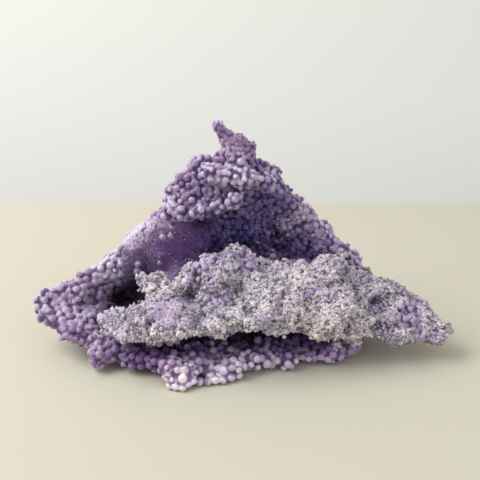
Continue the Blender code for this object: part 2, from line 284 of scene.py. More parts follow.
# Painted shade between and under the grains.
GRAIN_SHADE = (0.06, 0.045, 0.07)
GRAIN_WARM = (0.53, 0.47, 0.39)
GRAIN_SMOOTH = (0.40, 0.32, 0.43)
# How strongly some of them are mixed in.
LAVENDER_SHARE = 0.8
WARM_SHARE = 0.7
SHADE_SPECKLE_SHARE = 0.85
SMOOTH_SHARE = 1.3
# Its patches: their noise, how much luck adds, and from where to where they fade in.
GREY_PATCHES = (((5, 1, 3), (2, 0.4, 6)), 0.09, (0.02, 0.35))
LAVENDER_PATCHES = (((5.5, 1, 9), (2, 0.4, 10)), 0.05, (0.08, 0.3))
# Specks of painted shade in the pits between the grains.
SHADE_SPECKLES = (((1.3, 1, 12),), 0, (0.3, 0.42))
# Where it is lavender, clean white, blue or warm, or holds grapes.
LAVENDER_SPOTS = (
    ((-24, -29, 21), 6, 0.9), ((3, -12, 33), 6, 0.6), ((58, -17, 15), 11, 0.6),
    ((30, -20, 24), 6, 0.5), ((68, -18, 11), 6, 0.5), ((-39, -31, 17), 10, 0.7),
    ((-5, -14, 30), 9, 0.6), ((-9, -25, 23), 9, 0.5),
)
CLEAN_SPOTS = (
    ((18, -20, 25), 11, 0.8), ((30, -27, 18), 9, 0.7), ((38, -14, 24), 7, 0.4),
    ((60, -17, 14), 9, 0.3),
)
GREY_BLUE_SPOTS = (
    ((-13, -28.5, 21), 3.5, 0.9), ((44, -8, 22), 7, 0.7), ((38, -13, 25), 5, 0.6),
    ((10, -15, 27), 4, 0.5), ((48, -14, 19), 4, 0.7), ((64, -14, 14), 4, 0.5),
    ((-7, -14, 30), 6, 0.5), ((-42, -29, 18), 5, 0.35), ((8, -24, 24), 5, 0.3),
)
WARM_SPOTS = (((26, -33, 12), 9, 0.9), ((36, -31, 15), 5, 0.7), ((-30, -14, 26), 4, 0.7))
CRUST_GRAPE_SPOTS = (
    ((-12, -16, 28), 7, 1), ((2, -12, 32), 6, 0.9), ((-8, -23, 25), 6, 0.8),
    ((57, -18, 14), 11, 0.9), ((20, -15, 26), 18, 0.35),
)

# Single grapes that stand out in the photograph: x, y, z, radius.
STANDING = (
    (-36.7, 0.6, 25.4, 1.25), (-37.1, -0.2, 22.9, 1.5), (-27.5, 1, 36, 1.3),
    (-24.6, 1, 36.4, 1.2), (-29.3, 3.6, 24.7, 1.2), (-23.8, -2, 41, 1.2),
    (-16.4, -15.5, 27.4, 1.2), (-15.9, -15.2, 28.8, 1.25), (-15.4, -14.8, 30.2, 1.2),
    (-12.6, -11.5, 31.8, 1.4), (54.3, -19, 5.4, 1.7), (57, -19.4, 5, 1.7),
    (59.6, -19.2, 5.4, 1.5), (64.3, -18.6, 5.3, 1.5), (-13.2, -39.5, 1.6, 1.5),
    (-10.6, -39.2, 1.5, 1.45), (-8, -38.6, 1.7, 1.5), (-5.4, -38.4, 1.6, 1.4),
    (-2.8, -37.2, 1.8, 1.5), (-0.4, -35.8, 1.7, 1.4), (-9.6, -37.2, 2.2, 1.6),
    (-6.4, -36.8, 2.3, 1.5), (-3.4, -36, 2.3, 1.6), (-22.5, -41.3, 1.5, 1.4),
    (-20.5, -42.1, 1.5, 1.4), (-18.3, -42.6, 1.4, 1.3),
)
# Rows of larger pale grapes along ledge, brow and lip: start, end, count, radius.
ROWS = (
    ((-26, -5, 47), (-14, -8, 49), 7, 1.35), ((-14, -8, 49), (-1, -7.5, 53), 7, 1.35),
    ((-24, -4, 50), (-4, -7, 53.5), 9, 1.15), ((-13, -4, 60.5), (12, -1, 57.5), 12, 1.15),
    ((-8, -5.5, 62.5), (7, -5, 59.5), 8, 1.1), ((-12, -38, 3), (3, -34, 4), 7, 1.5),
    ((6, -32, 3.5), (30, -29, 3.2), 8, 1.45), ((-14.5, -25, 7), (-10.5, -25, 7.2), 2, 1.35),
    ((-9.6, -27.5, 6), (-2.8, -27.5, 7), 2, 1.3), ((-17.5, -27, 7.2), (-22, -28.5, 6), 2, 1.35),
    ((-6, -23, 8), (6, -24, 7), 2, 1.5),
)

# The crystals on the crust, and the glints in the hollow: number, lengths, radii.
CRYSTALS = (8500, (0.45, 1.25), (0.34, 0.7))
SMALL_CRYSTALS = (6500, (0.3, 0.7), (0.18, 0.36))
GLINTS = (140, (0.15, 0.45), (0.1, 0.3))
CRYSTAL_SIDES = 6
CRYSTAL_FOOT = -0.6  # as a share of a crystal's length, with its tip at 1
CRYSTAL_SHOULDER = 0.3
CRYSTAL_LEAN = 0.8
SHORT_CRYSTALS = 2  # above 1, more crystals are short than long
BARE_SHARE = 1.6  # how surely a smooth place, or a pit's painted shade, has none in its middle
GLINT_WHITE = (0.92, 0.90, 0.82)
GLINT_FROM = 0.4  # they grow where a spot for them is stronger than this
GLINT_FACING = 0.2  # and where the normal's Y is below this
GLINT_SPOTS = (
    ((-30, 3, 34), 11), ((-40, 2, 30), 8), ((-20, 4, 30), 10), ((-2, 5, 40), 9),
    ((10, 6, 36), 9),
)

# The bare rock of the flat, where the stone was broken off.
ROCK_PALE = (0.42, 0.37, 0.44)
ROCK_DARK = (0.20, 0.15, 0.25)
ROCK_GRAIN = 4

rng = np.random.default_rng(SEED)


def unit(vectors):
    return vectors / np.linalg.norm(vectors, axis=-1, keepdims=True)


def smooth_step(low, high, values):
    share = np.clip((values - low) / (high - low), 0, 1)
    return share * share * (3 - 2 * share)


def random_directions(count):
    return unit(rng.normal(size=(count, 3)))


def spots(points, places):
    """How strongly each point belongs to any of the soft spots, from 0 to 1."""
    share = np.zeros(len(points))
    for centre, reach, *strength in places:
        near = np.exp(-((points - centre) ** 2).sum(1) / reach**2)
        share = np.maximum(share, near * (strength[0] if strength else 1))
    return share


def clouds(points, layers):
    """Soft noise at each point, the same for the same place and layers."""
    total = np.zeros(len(points))
    for width, strength, seed in layers:
        shift = Vector((seed * NOISE_SHIFT,) * 3)
        layer = [noise.noise(Vector(p) / width + shift) for p in points.tolist()]
        total += strength * np.array(layer)
    return total


def mixed(share, first, second):
    """Rows of the first colour with some of the second one, whose share is from 0 to 1."""
    return first + (np.asarray(second, float) - first) * np.clip(share, 0, 1)[:, None]


def to_frame(points):
    return (points + MIDDLE) * MM


def mesh_arrays(mesh):
    """Points in the design's millimetres, their normals, and the triangles."""
    points = np.empty(len(mesh.vertices) * 3, np.float32)
    mesh.vertices.foreach_get("co", points)
    normals = np.empty(len(mesh.vertices) * 3, np.float32)
    mesh.vertex_normals.foreach_get("vector", normals)
    mesh.calc_loop_triangles()
    triangles = np.empty(len(mesh.loop_triangles) * 3, np.int32)
    mesh.loop_triangles.foreach_get("vertices", triangles)
    points = points.reshape(-1, 3).astype(float) / MM - MIDDLE
    return points, normals.reshape(-1, 3).astype(float), triangles.reshape(-1, 3)


def mesh_from(name, points, triangles):
    mesh = bpy.data.meshes.new(name)
    mesh.vertices.add(len(points))
    mesh.vertices.foreach_set("co", to_frame(points).astype(np.float32).ravel())
    mesh.loops.add(triangles.size)
    mesh.loops.foreach_set("vertex_index", triangles.astype(np.int32).ravel())
    mesh.polygons.add(len(triangles))
    starts = np.arange(0, triangles.size, 3, dtype=np.int32)
    mesh.polygons.foreach_set("loop_start", starts)
    mesh.update(calc_edges=True)
    return mesh


def add_object(name, mesh):
    obj = bpy.data.objects.new(name, mesh)
    bpy.context.scene.collection.objects.link(obj)
    return obj


def evaluated_mesh(obj):
    graph = bpy.context.evaluated_depsgraph_get()
    return bpy.data.meshes.new_from_object(obj.evaluated_get(graph))


def remeshed(mesh, voxel, smoothing=1):
    """The mesh's outer skin, in even quads, with its steps smoothed away."""
    obj = add_object("remeshed", mesh)
    remesh = obj.modifiers.new("Fuse", "REMESH")
    remesh.mode = "VOXEL"
    remesh.voxel_size = voxel * MM
    smooth = obj.modifiers.new("Smooth", "SMOOTH")
    smooth.factor = 0.5
    smooth.iterations = smoothing
    result = evaluated_mesh(obj)
    bpy.data.objects.remove(obj)
    return result


def thinned(mesh, triangles):
    """The mesh with no more than the given number of triangles."""
    mesh.calc_loop_triangles()
    obj = add_object("thinned", mesh)
    thin = obj.modifiers.new("Thin", "DECIMATE")
    thin.ratio = min(1, triangles / len(mesh.loop_triangles))
    thin.use_collapse_triangulate = True
    result = evaluated_mesh(obj)
    bpy.data.objects.remove(obj)
    return result


def ball_template():
    form = bmesh.new()
    bmesh.ops.create_icosphere(form, subdivisions=BALL_DETAIL, radius=1)
    points = np.array([v.co for v in form.verts])
    triangles = np.array([[v.index for v in f.verts] for f in form.faces])
    form.free()
    return points, triangles


def copies(template, count):
    """The triangles of many copies of a template, and the copy each point belongs to."""
    points, triangles = template
    offsets = np.arange(count) * len(points)
    owner = np.repeat(np.arange(count), len(points))
    return (triangles[None] + offsets[:, None, None]).reshape(-1, 3), owner


def balls_mesh_parts(centres, radii):
    template = ball_template()
    triangles, _ = copies(template, len(centres))
    points = template[0][None] * radii[:, None, None] + centres[:, None]
    return points.reshape(-1, 3), triangles


def crust_place(points):
    """Where points are in the crust's plate: the share of the way from front to crest, the
    height above its middle sheet, the distance from that sheet, and half its thickness."""
    x = points[:, 0]
    crest = np.stack([np.interp(x, CRUST[:, 0], CRUST[:, i]) for i in (1, 2)], 1)
    front = np.stack([np.interp(x, CRUST[:, 0], CRUST[:, i]) for i in (3, 4)], 1)
    half = np.interp(x, CRUST[:, 0], CRUST[:, 5]) / 2
    span = crest - front
    length = np.linalg.norm(span, axis=1)
    along = span / length[:, None]
    offset = points[:, 1:] - front
    share = (offset * along).sum(1) / length
    height = offset[:, 1] * along[:, 0] - offset[:, 0] * along[:, 1]
    nearest = front + along * (np.clip(share, 0, 1) * length)[:, None]
    away = np.linalg.norm(points[:, 1:] - nearest, axis=1)
    beyond = np.maximum(CRUST[0, 0] - x, x - CRUST[-1, 0])
    return share, height, np.hypot(away, np.maximum(beyond, 0)), half


def is_zone(zone, *names):
    return np.isin(zone, [ZONE[name] for name in names])


def zones_of(points, normals):
    """The number in ZONE of the zone that each point of the skin lies in."""
    x, y, z = points.T
    share, height, away, half = crust_place(points)
    between = (share > 0) & (share < 1)
    on_plate = between & (height < half + CRUST_RISE) & (height > -half - CRUST_DROP)
    on_edge = ~between & (away < half + np.where(height < 0, 0, EDGE_REACH))
    on_nose = np.linalg.norm(points - NOSE, axis=1) < NOSE_REACH
    crust = ((on_plate | on_edge) & (x > CRUST_START)) | on_nose
    underside = (normals[:, 2] < UNDER_FACING) & (height < 0)

    measures = {"x": x, "y": y, "z": z, "normal_y": normals[:, 1], "normal_z": normals[:, 2]}
    zone = np.full(len(points), ZONE["wall"])
    for name, box in ZONE_BOXES.items():
        inside = np.ones(len(points), bool)
        for measure, (low, high) in box.items():
            inside &= (measures[measure] > low) & (measures[measure] < high)
        zone[inside] = ZONE[name]
    zone[crust] = ZONE["druse"]
    zone[crust & underside] = ZONE["under"]
    return zone


def spread(points, normals, triangles, count):
    """Random points on the skin, with their normals."""
    a, b, c = (points[triangles[:, i]] for i in range(3))
    areas = np.linalg.norm(np.cross(b - a, c - a), axis=1)
    pick = rng.choice(len(triangles), size=count, p=areas / areas.sum())
    u, v = rng.random((2, count))
    over = u + v > 1
    u[over], v[over] = 1 - u[over], 1 - v[over]
    weights = np.stack((1 - u - v, u, v), 1)
    corners = triangles[pick]
    where = (points[corners] * weights[..., None]).sum(1)
    normal = (normals[corners] * weights[..., None]).sum(1)
    return where, unit(normal)


def thin_out(points, reach):
    """Indices of points kept so that no two are nearer than the sum of their reaches."""
    kept = []
    boxes = {}
    keys = np.floor(points / GRID).astype(int).tolist()
    places = points.tolist()
    reaches = reach.tolist()
    steps = [(i, j, k) for i in (-1, 0, 1) for j in (-1, 0, 1) for k in (-1, 0, 1)]
    for index, ((i, j, k), (x, y, z), own) in enumerate(zip(keys, places, reaches)):
        free = True
        for di, dj, dk in steps:
            for px, py, pz, other in boxes.get((i + di, j + dj, k + dk), ()):
                if (px - x) ** 2 + (py - y) ** 2 + (pz - z) ** 2 < (own + other) ** 2:
                    free = False
                    break
            if not free:
                break
        if free:
            boxes.setdefault((i, j, k), []).append((x, y, z, own))
            kept.append(index)
    return np.array(kept)


def sculpted(skin):
    """The skin with its crust's lumps, dents and pits, and the spots of the pits' painted
    shade.
    """
    points, normals, triangles = skin
    crust = is_zone(zones_of(points, normals), "druse")
    places = points[crust]
    relief = 1 - SMOOTH_RELIEF * spots(places, SMOOTH_SPOTS)
    rise = clouds(places, CRUST_RELIEF) * relief - CRUST_SHRINK
    rise += TIP_SWELL * smooth_step(*TIP_SWELL_X, places[:, 0])
    rise = np.where(normals[crust][:, 2] < 0, np.minimum(rise, 0), rise)
    moved = points.copy()
    moved[crust] += normals[crust] * rise[:, None]
    for centre, reach, depth in DENTS + PITS:
        away = ((points - centre) ** 2).sum(1)
        moved -= normals * (depth * np.exp(-away / reach**2))[:, None]
    # Painted shade in each pit, at a few depths.
    pit_shades = []
    for centre, reach, depth in PITS:
        inward = -normals[((points - centre) ** 2).sum(1).argmin()]
        pit_shades += [(centre + inward * depth * share, reach * PIT_SHADE)
                 for share in PIT_SHADE_DEPTHS]
    return (moved, normals, triangles), pit_shades


def standing_grapes(tree):
    """The grapes with places of their own: centres, radii and normals."""
    grapes = [(np.array(grape[:3], float), grape[3]) for grape in STANDING]
    for start, end, count, radius in ROWS:
        for share in np.linspace(0, 1, count):
            middle = np.array(start) * (1 - share) + np.array(end) * share
            wanted = Vector(middle + rng.normal(size=3) * ROW_JITTER)
            place, normal, _, _ = tree.find_nearest(wanted)
            centre = np.array(place + normal * radius * ROW_HEIGHT)
            grapes.append((centre, radius * rng.uniform(*ROW_RADII)))
    centres = np.array([centre for centre, _ in grapes])
    radii = np.array([radius for _, radius in grapes])
    kept = thin_out(centres, radii * OWN_APART)
    normals = np.array([tree.find_nearest(Vector(centre))[1] for centre in centres[kept]])
    return centres[kept], radii[kept], normals


def make_balls(skin):
    """All balls: centres, radii, normals and zones."""
    points, normals, triangles = skin
    where, normal = spread(points, normals, triangles, CANDIDATES)
    zone = zones_of(where, normal)
    fine = is_zone(zones_of(points, normals), "hollow")[triangles].any(1)
    more, more_normal = spread(points, normals, triangles[fine], HOLLOW_CANDIDATES)
    where = np.concatenate((where, more))
    normal = np.concatenate((normal, more_normal))
    zone = np.concatenate((zone, np.full(len(more), ZONE["hollow"])))
    crust = is_zone(zone, "druse")
    likely = spots(where, CRUST_GRAPE_SPOTS) * CRUST_GRAPE_SPOT
    likely += clouds(where, CRUST_GRAPE_NOISE)
    zone[crust & (likely > CRUST_GRAPE_FROM)] = ZONE["crust_grapes"]
    smooth = crust & (spots(where, SMOOTH_SPOTS) > SMOOTH_FROM)
    zone[smooth] = ZONE["smooth_druse"]

    low, high, apart, deep = np.array(list(ZONES.values())).T[:, zone]
    radii = low + (high - low) * rng.random(len(where)) ** SMALL_GRAPES
    jitter = np.where(crust & ~smooth, rng.normal(size=len(where)) * DRUSE_JITTER, 0)
    centres = where - normal * (radii * deep + jitter)[:, None]

    tree = BVHTree.FromPolygons(points.tolist(), triangles.tolist())
    own_centres, own_radii, own_normals = standing_grapes(tree)
    own = len(own_centres)
    kept = thin_out(np.concatenate((own_centres, centres)),
                    np.concatenate((own_radii * OWN_ROOM, radii * apart)))
    kept = kept[kept >= own] - own
    centres = np.concatenate((own_centres, centres[kept]))
    radii = np.concatenate((own_radii, radii[kept]))
    normals = np.concatenate((own_normals, normal[kept]))
    zone = np.concatenate((np.full(own, ZONE["standing"]), zone[kept]))

    perch = is_zone(zone, *PERCH_ZONES) & (rng.random(len(zone)) < PERCHED)
    lean = unit(normals[perch] + random_directions(perch.sum()) * PERCH_LEAN)
    top = centres[perch] + lean * radii[perch, None] * PERCH_HEIGHT
    centres = np.concatenate((centres, top))
    radii = np.concatenate((radii, radii[perch] * rng.uniform(*PERCH_RADII, perch.sum())))
    normals = np.concatenate((normals, lean))
    zone = np.concatenate((zone, zone[perch]))
    on_flat = (centres[:, 2] < FLAT_GRAPES) & (normals[:, 2] < FLAT_FACING)
    centres[:, 2] = np.maximum(centres[:, 2], radii)
    return centres[~on_flat], radii[~on_flat], normals[~on_flat], zone[~on_flat]


def open_sky(balls, skin):
    """The share of directions in which each ball sees past the stone, from 0 to 1."""
    centres, radii, normals, _ = balls
    points, _, triangles = skin
    tree = BVHTree.FromPolygons(points.tolist(), triangles.tolist())
    rays = random_directions(SKY_RAYS)
    seen = np.zeros(len(centres))
    for i, (centre, normal, radius) in enumerate(zip(centres, normals, radii)):
        start = Vector(centre + normal * (radius + SKY_START))
        outward = np.where((rays @ normal)[:, None] < 0, -rays, rays)
        hits = [tree.ray_cast(start, Vector(ray), SKY_REACH)[0] for ray in outward]
        seen[i] = 1 - sum(hit is not None for hit in hits) / SKY_RAYS
    return seen


def host_mesh(skin):
    """The stone between the grapes: the skin, sunk a little, and flat where it stands."""
    points, normals, triangles = skin
    zone = zones_of(points, normals)
    sink = np.full(len(points), HOST_SINK)
    sink[is_zone(zone, "druse")] = DRUSE_SINK
    sink[is_zone(zone, "horn")] = HORN_SINK
    sink[(normals[:, 2] < FLAT_FACING) & (points[:, 2] < FLAT_HEIGHT)] = 0
    moved = points - normals * sink[:, None]
    moved[:, 2] = np.maximum(moved[:, 2], 0)
    return mesh_from("host", moved, triangles)


def slab_of(host, low, high):
    """The closed part of the host between two planes across X."""
    form = bmesh.new()
    form.from_mesh(host)
    for place, way in ((low, -1), (high, 1)):
        everything = form.verts[:] + form.edges[:] + form.faces[:]
        cut = bmesh.ops.bisect_plane(
            form, geom=everything, plane_co=((place + MIDDLE[0]) * MM, 0, 0),
            plane_no=(way, 0, 0), clear_outer=True, dist=CUT_TOLERANCE,
        )
        edges = [e for e in cut["geom_cut"] if isinstance(e, bmesh.types.BMEdge)]
        if edges:
            bmesh.ops.triangle_fill(form, edges=edges, normal=(way, 0, 0))
    mesh = bpy.data.meshes.new("slab")
    form.to_mesh(mesh)
    form.free()
    return mesh


def set_attribute(mesh, name, values):
    kind = "FLOAT" if values.ndim == 1 else "FLOAT_COLOR"
    attribute = mesh.attributes.new(name, kind, "POINT")
    if values.ndim == 1:
        attribute.data.foreach_set("value", values.astype(np.float32))
    else:
        four = np.concatenate((values, np.ones((len(values), 1))), 1)
        attribute.data.foreach_set("color", four.astype(np.float32).ravel())


def nearest_balls(points, tree, radii):
    """The ball whose centre is nearest to each point, and how many radii away that is."""
    index = np.empty(len(points), int)
    distance = np.empty(len(points))
    for i, point in enumerate(points):
        _, index[i], distance[i] = tree.find(point)
    return index, distance / radii[index]


def patches(places, luck, kind):
    layers, lucky, fade = kind
    return smooth_step(*fade, clouds(places, layers) + luck * lucky)


def by_luck(share, luck):
    return share[0] + share[1] * luck


def by_sky(share, sky):
    start, full, strength = share
    return smooth_step(start, full, sky) * strength


def layered(ground, layers):
    """The ground's colour with layers of others over it, each with its share per place."""
    tint = np.tile(np.array(ground), (len(layers[0][0]), 1))
    for share, colour in layers:
        tint = mixed(share, tint, colour)
    return tint


def crust_tints(places, pit_shade_places):
    """Crust grain and crystal colours, in patches of a few millimetres, with painted pit shade.
    """
    luck = rng.normal(size=len(places))
    lavender = patches(places, luck, LAVENDER_PATCHES)
    lavender = np.maximum(lavender, spots(places, LAVENDER_SPOTS))
    return layered(GRAIN_WHITE, (
        (patches(places, luck, GREY_PATCHES), GRAIN_GREY),
        (lavender * LAVENDER_SHARE, GRAIN_LAVENDER),
        (spots(places, CLEAN_SPOTS), GRAIN_WHITE),
        (spots(places, GREY_BLUE_SPOTS), GRAIN_BLUE),
        (spots(places, WARM_SPOTS) * WARM_SHARE, GRAIN_WARM),
        (patches(places, luck, SHADE_SPECKLES) * SHADE_SPECKLE_SHARE, GRAIN_SHADE),
        (spots(places, SMOOTH_SPOTS) * SMOOTH_SHARE, GRAIN_SMOOTH),
        (spots(places, pit_shade_places), BLACK_SHADE),
    ))


def grape_tints(balls, sky, pit_shade_places):
    """Each ball's colour, from where it is and a little luck, with painted shade in recesses.
    """
    centres, _, _, zone = balls
    luck = rng.random(len(centres))
    # Painted shade where a grape sees little sky or lies in a recess.
    deep = np.maximum(spots(centres, DEEP_SHADE_SPOTS), by_sky(DEEP_SHADE_BY_SKY, sky))
    blue_and_shade = spots(centres, BLUE_AND_SHADE_SPOTS)
    pale = spots(centres, PALE_SPOTS) + clouds(centres, PALE_NOISE) + (luck - 0.5) * PALE_LUCK
    pale *= 1 - PALE_LOSS * np.maximum(deep, blue_and_shade)
    # Painted near-black shade where little sky is seen and at the listed spots.
    black_shade = np.maximum(by_sky(BLACK_SHADE_BY_SKY, sky), spots(centres, BLACK_SHADE_SPOTS))
    standing = is_zone(zone, "standing")
    on_crust = is_zone(zone, "crust_grapes")
    tint = layered(VIOLET, (
        (pale, PALE),
        (deep * by_luck(DEEP_SHADE_SHARE, luck), DEEP_SHADE),
        (blue_and_shade * by_luck(INDIGO_AND_SHADE_SHARE, luck), INDIGO_AND_SHADE),
        (spots(centres, PURPLE_SPOTS), PURPLE),
        (np.maximum(black_shade, spots(centres, pit_shade_places)), BLACK_SHADE),
        (spots(centres, WHITE_SPOTS) * by_luck(WHITE_SHARE, luck), GRAIN_WHITE),
        (standing * STANDING_SHARE, PALE),
        (on_crust * by_luck(CRUST_GRAPE_SHARE, luck), GRAIN_LAVENDER),
    ))
    crust = is_zone(zone, "druse", "smooth_druse")
    grains = crust_tints(centres[crust], pit_shade_places)
    # Painted shade on grains that see little sky.
    tint[crust] = mixed(by_sky(GRAIN_SHADE_BY_SKY, sky[crust]), grains, GRAIN_SHADE)
    return tint


def make_grapes(skin, balls, tints, material):
    """The fused pieces. Their points know their grape's colour and how they lie on it."""
    centres, radii, normals, zone = balls
    host = remeshed(host_mesh(skin), SKIN_VOXEL)
    tree = KDTree(len(centres))
    for i, centre in enumerate(centres):
        tree.insert(centre, i)
    tree.balance()
    druse = is_zone(zone, "druse", "smooth_druse").astype(float)
    hollow = is_zone(zone, "hollow")
    pieces = []
    for name, low, high in SLABS:
        slab = slab_of(host, low - SLAB_OVERLAP, high + SLAB_OVERLAP)
        points, _, triangles = mesh_arrays(slab)
        own = (centres[:, 0] >= low) & (centres[:, 0] < high)
        ball_points, ball_triangles = balls_mesh_parts(centres[own], radii[own])
        joined = mesh_from(
            name, np.concatenate((points, ball_points)),
            np.concatenate((triangles, ball_triangles + len(points))),
        )
        mesh = thinned(remeshed(joined, FUSE_VOXEL), SLAB_TRIANGLES)
        mesh.name = name
        points, point_normals, corners = mesh_arrays(mesh)
        nearest, out = nearest_balls(points, tree, radii)
        height = ((points - centres[nearest]) * normals[nearest]).sum(1) / radii[nearest]
        # How high a point is on its grape; low points get painted crevice shade.
        head = smooth_step(*FOOT_TO_HEAD, height) * smooth_step(*GAP_TO_SKIN, out)
        head = np.where(hollow[nearest], HOLLOW_HEAD[0] + HOLLOW_HEAD[1] * head, head)
        flat = points[:, 2] < FUSED_FLAT_HEIGHT
        flat &= point_normals[:, 2] < FUSED_FLAT_FACING
        set_attribute(mesh, "tint", tints[nearest])
        set_attribute(mesh, "head", head)
        set_attribute(mesh, "druse", druse[nearest])
        set_attribute(mesh, "rock", flat.astype(float))
        mesh.polygons.foreach_set("use_smooth", ~flat[corners].all(1))
        mesh.materials.clear()
        mesh.materials.append(material)
        pieces.append(add_object(name, mesh))
    return pieces


def crystal_template():
    """A six-sided quartz crystal: a short prism with a pyramid on it, open at its foot."""
    sides = CRYSTAL_SIDES
    turns = np.arange(sides) * math.tau / sides
    ring = np.stack((np.cos(turns), np.sin(turns)), 1)
    foot = np.concatenate((ring, np.full((sides, 1), CRYSTAL_FOOT)), 1)
    shoulder = np.concatenate((ring, np.full((sides, 1), CRYSTAL_SHOULDER)), 1)
    points = np.concatenate((foot, shoulder, [[0, 0, 1.0]]))
    triangles = []
    for i in range(sides):
        j = (i + 1) % sides
        triangles += [(i, j, sides + j), (i, sides + j, sides + i)]
        triangles.append((sides + i, sides + j, 2 * sides))
    return points, np.array(triangles)


def whole_surface(pieces):
    """The pieces' points, normals and triangles as one, and how far each point is crust."""
    points, normals, triangles, druse = [], [], [], []
    shift = 0
    for piece in pieces:
        own_points, own_normals, own_triangles = mesh_arrays(piece.data)
        own_druse = np.empty(len(own_points), np.float32)
        piece.data.attributes["druse"].data.foreach_get("value", own_druse)
        points.append(own_points)
        normals.append(own_normals)
        triangles.append(own_triangles + shift)
        druse.append(own_druse)
        shift += len(own_points)
    return tuple(np.concatenate(parts) for parts in (points, normals, triangles, druse))


def make_crystals(name, where, normal, sizes, tint, material):
    """Quartz crystals at the given places, as one joined mesh."""
    (short, long), (thin, thick) = sizes
    count = len(where)
    template = crystal_template()
    points = template[0]
    triangles, owner = copies(template, count)
    axis = unit(normal + random_directions(count) * CRYSTAL_LEAN)
    side = unit(np.cross(axis, random_directions(count)))
    other = np.cross(axis, side)
    length = short + (long - short) * rng.random(count) ** SHORT_CRYSTALS
    width = thin + (thick - thin) * rng.random(count)
    body = (
        side[:, None] * points[None, :, 0:1] * width[:, None, None]
        + other[:, None] * points[None, :, 1:2] * width[:, None, None]
        + axis[:, None] * points[None, :, 2:3] * length[:, None, None]
        + where[:, None]
    )
    mesh = mesh_from(name, body.reshape(-1, 3), triangles)
    set_attribute(mesh, "tint", tint[owner])
    mesh.materials.append(material)
    return add_object(name, mesh)


def make_crust_crystals(name, surface, pit_shade_places, kind, material):
    points, normals, triangles, druse = surface
    count, *sizes = kind
    crust = triangles[druse[triangles].min(1) > 0.5]
    where, normal = spread(points, normals, crust, count)
    bare = np.maximum(spots(where, SMOOTH_SPOTS), spots(where, pit_shade_places)) * BARE_SHARE
    kept = rng.random(count) > bare
    where, normal = where[kept], normal[kept]
    tint = crust_tints(where, pit_shade_places)
    return make_crystals(name, where, normal, sizes, tint, material)


def make_glints(name, surface, kind, material):
    points, normals, triangles, druse = surface
    count, *sizes = kind
    grapes = triangles[druse[triangles].max(1) < 0.5]
    near = spots(points, GLINT_SPOTS)[grapes].min(1) > GLINT_FROM
    facing = normals[grapes[:, 0], 1] < GLINT_FACING
    where, normal = spread(points, normals, grapes[near & facing], count)
    tint = np.tile(np.array(GLINT_WHITE), (count, 1))
    return make_crystals(name, where, normal, sizes, tint, material)


class Nodes:
    """A short way to write a material's nodes."""

    def __init__(self, name):
        self.material = bpy.data.materials.new(name)
        self.material.use_nodes = True
        self.tree = self.material.node_tree
        self.shader = self.tree.nodes["Principled BSDF"]

    def add(self, kind, **settings):
        node = self.tree.nodes.new(kind)
        for key, value in settings.items():
            setattr(node, key, value)
        return node

    def link(self, source, target):
        self.tree.links.new(source, target)

    def attribute(self, name, output):
        return self.add("ShaderNodeAttribute", attribute_name=name).outputs[output]

    def value(self, target, source):
        if hasattr(source, "is_output"):
            self.link(source, target)
        else:
            target.default_value = source

    def math(self, operation, a, b):
        node = self.add("ShaderNodeMath", operation=operation)
        self.value(node.inputs[0], a)
        self.value(node.inputs[1], b)
        return node.outputs[0]

    def mix(self, share, a, b, blend="MIX"):
        node = self.add("ShaderNodeMix", data_type="RGBA", blend_type=blend)
        self.value(node.inputs[0], share)
        for socket, colour in ((node.inputs[6], a), (node.inputs[7], b)):
            self.value(socket, (*colour, 1) if isinstance(colour, tuple) else colour)
        return node.outputs[2]

    def noise(self, size, detail=2.0):
        node = self.add("ShaderNodeTexNoise")
        node.inputs["Scale"].default_value = 1 / (size * MM)
        node.inputs["Detail"].default_value = detail
        place = self.add("ShaderNodeTexCoord")
        self.link(place.outputs["Object"], node.inputs["Vector"])
        return node.outputs[0]

    def range(self, source, limits, new_limits):
        node = self.add("ShaderNodeMapRange")
        self.link(source, node.inputs[0])
        for i, value in enumerate((*limits, *new_limits), 1):
            node.inputs[i].default_value = value
        return node.outputs[0]

    def bump(self, height, distance, strength):
        node = self.add("ShaderNodeBump")
        node.inputs["Distance"].default_value = distance * MM
        node.inputs["Strength"].default_value = strength
        self.link(height, node.inputs["Height"])
        return node.outputs[0]


